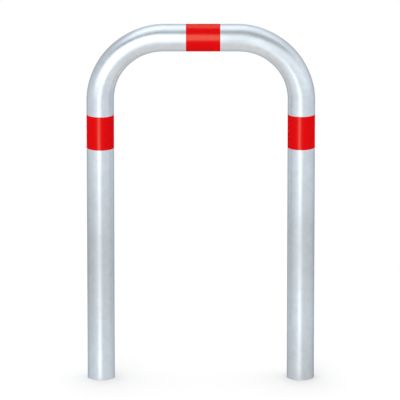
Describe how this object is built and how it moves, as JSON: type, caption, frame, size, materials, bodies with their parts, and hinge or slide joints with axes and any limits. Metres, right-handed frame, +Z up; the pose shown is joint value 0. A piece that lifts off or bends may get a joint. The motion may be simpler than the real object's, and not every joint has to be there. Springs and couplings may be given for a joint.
{
  "type": "charging point guard hoop",
  "caption": "Upright bent-tube guard hoop in galvanised steel with wrapped red reflective bands, set in the ground in front of a charging point to stop vehicles.",
  "frame": {"origin": "on the ground, midway between the two cut leg ends", "axes": "+Z up along the legs, +X across the hoop from the left leg to the right leg as pictured, +Y through the opening, away from the camera"},
  "size_m": [0.5002, 0.0603, 0.8001],
  "materials": {
    "galvanised_steel": "hot-dip galvanised, satin",
    "red_reflective_film": "glossy reflective film"
  },
  "bodies": {
    "root": {"hoop_tube": "galvanised_steel", "left_reflective_band": "red_reflective_film", "right_reflective_band": "red_reflective_film", "top_reflective_band": "red_reflective_film"}
  },
  "joints": []
}
